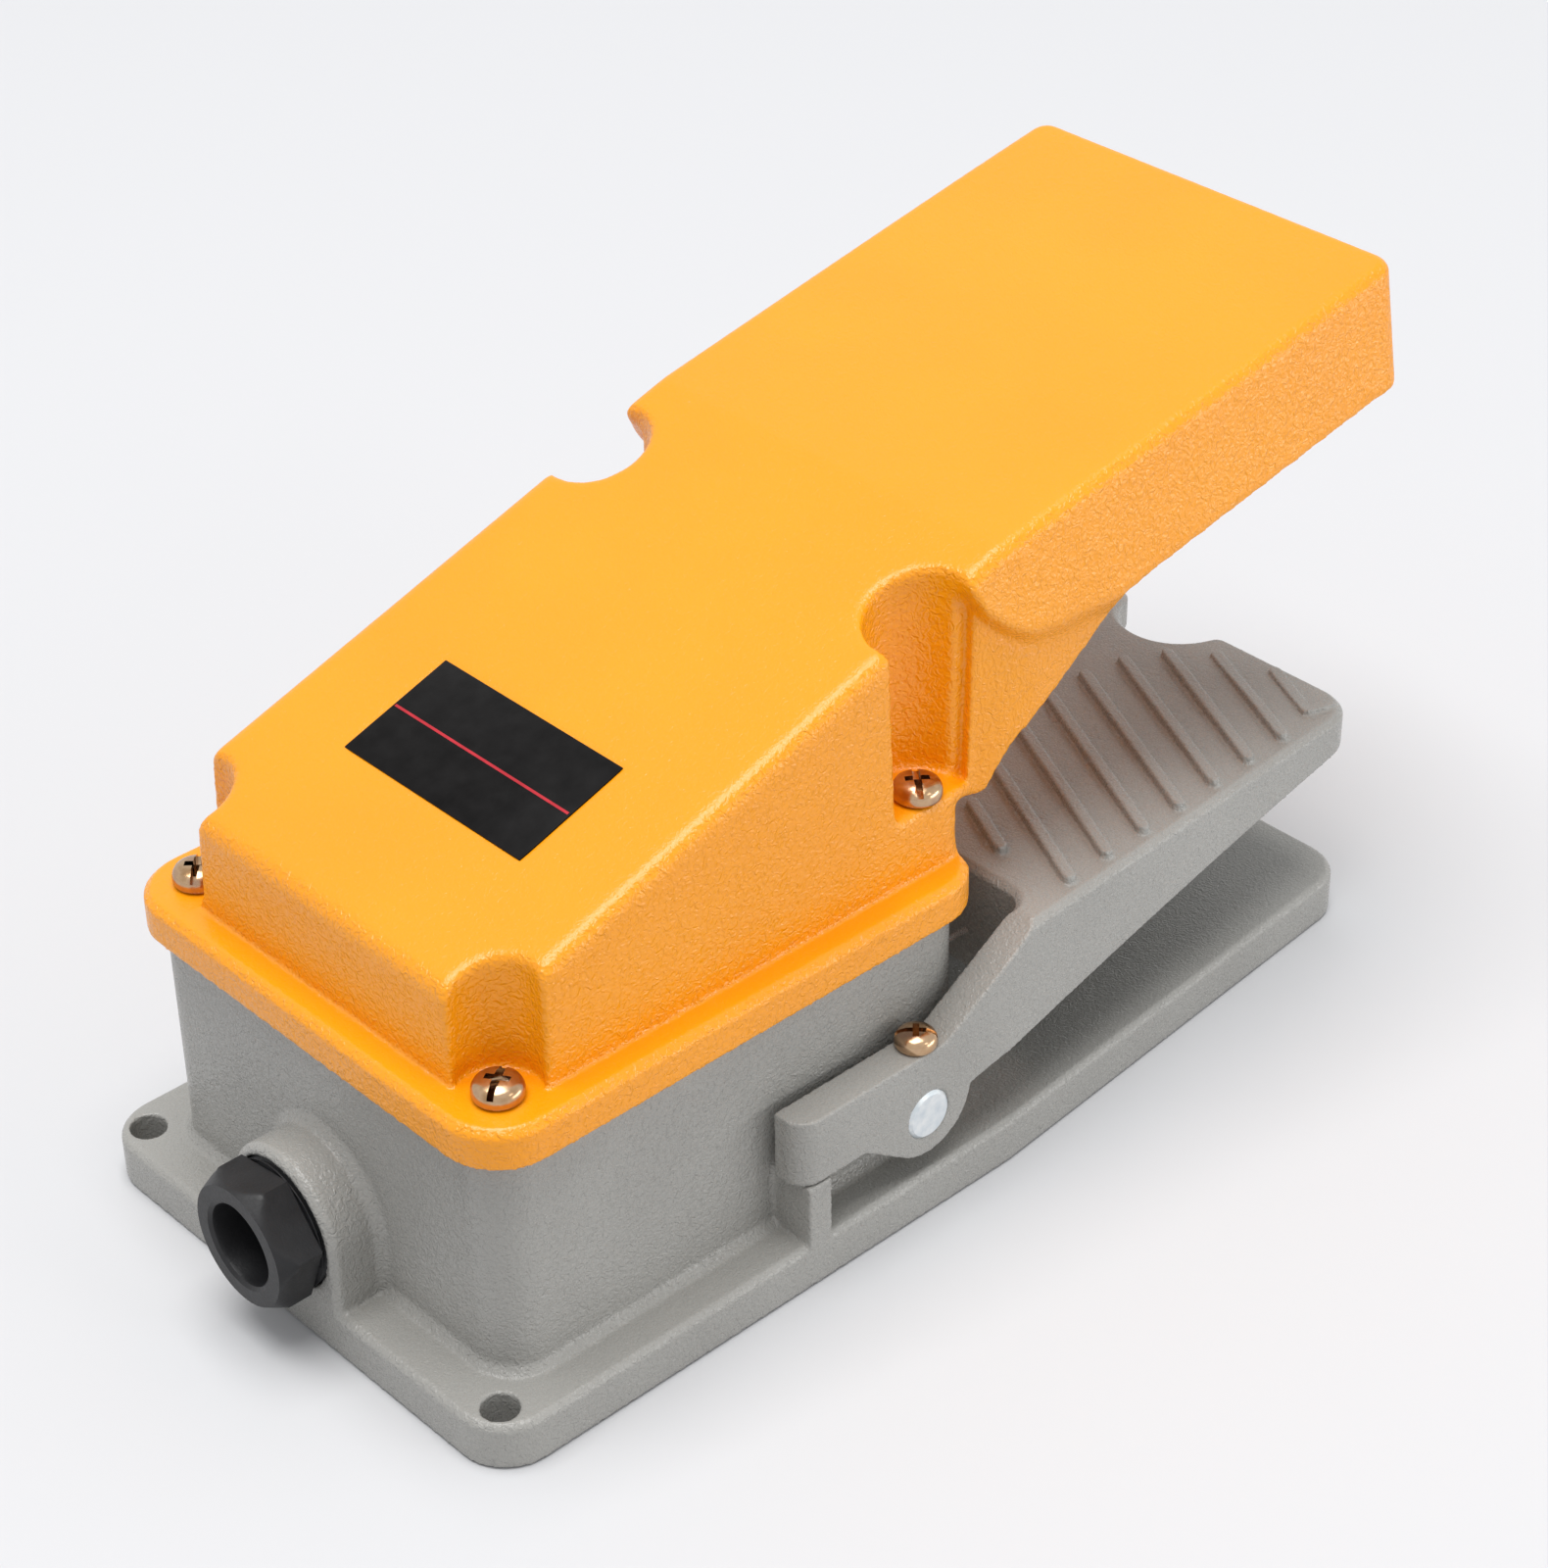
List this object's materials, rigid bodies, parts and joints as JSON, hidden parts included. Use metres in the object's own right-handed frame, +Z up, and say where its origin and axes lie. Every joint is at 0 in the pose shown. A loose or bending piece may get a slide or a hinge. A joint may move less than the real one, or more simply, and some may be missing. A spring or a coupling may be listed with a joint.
{
  "type": "foot switch",
  "caption": "Floor foot switch: grey base and sprung pedal under a yellow cover whose hood guards the foot space, with a cable gland at the rear.",
  "frame": {"origin": "centre of the base plate's length and width, on its underside", "axes": "+Z up from the floor; -Y towards the toe end where the foot goes in, +Y towards the cable gland; X along the pedal's shaft"},
  "size_m": [0.1186, 0.2469, 0.1437],
  "materials": {
    "grey_coat": "satin hammered coat",
    "yellow_coat": "satin textured coat",
    "zinc_screw": "yellow passivated zinc",
    "bright_steel": "turned and plated",
    "spring_steel": "drawn wire",
    "black_plastic": "moulded",
    "plate_black": "printed film on a plate",
    "seal_rubber": "moulded",
    "bush_bronze": "sintered",
    "switch_plastic": "moulded",
    "contact_brass": "stamped"
  },
  "bodies": {
    "base": {"lower_housing": "grey_coat", "top_cover": "yellow_coat", "cover_gasket": "seal_rubber", "cover_screws": "zinc_screw", "rating_plate": "plate_black", "gland_nut": "black_plastic", "gland_washer": "black_plastic", "gland_seal": "seal_rubber", "shaft_bush_left": "bush_bronze", "shaft_bush_right": "bush_bronze", "shaft_seals": "seal_rubber", "return_spring": "spring_steel", "switch_body": "switch_plastic", "switch_lid": "switch_plastic", "switch_mounting_screws": "zinc_screw", "fixed_contacts": "contact_brass", "terminal_screws": "zinc_screw", "earth_screw": "zinc_screw"},
    "pedal_assembly": {"pedal": "grey_coat", "pivot_shaft": "bright_steel", "pedal_set_screws": "zinc_screw", "actuator_cam": "bright_steel", "cam_set_screw": "zinc_screw"},
    "plunger_assembly": {"switch_plunger": "switch_plastic", "contact_bridge": "contact_brass", "plunger_spring": "spring_steel"}
  },
  "joints": [
    {"name": "pedal_swing", "type": "hinge", "parent": "base", "child": "pedal_assembly", "pos_m": [0, 0.0146, 0.023], "axis": [1, 0, 0], "range_deg": [0, 13], "stiffness_Nm_per_rad": 5, "springref_deg": -17.19},
    {"name": "plunger_slide", "type": "slide", "parent": "base", "child": "plunger_assembly", "axis": [0, 1, 0], "range_m": [0, 0.0027]}
  ],
  "couplings": [
    {"joint": "plunger_slide", "follows": "pedal_swing", "m_per_rad": 0.0115}
  ]
}
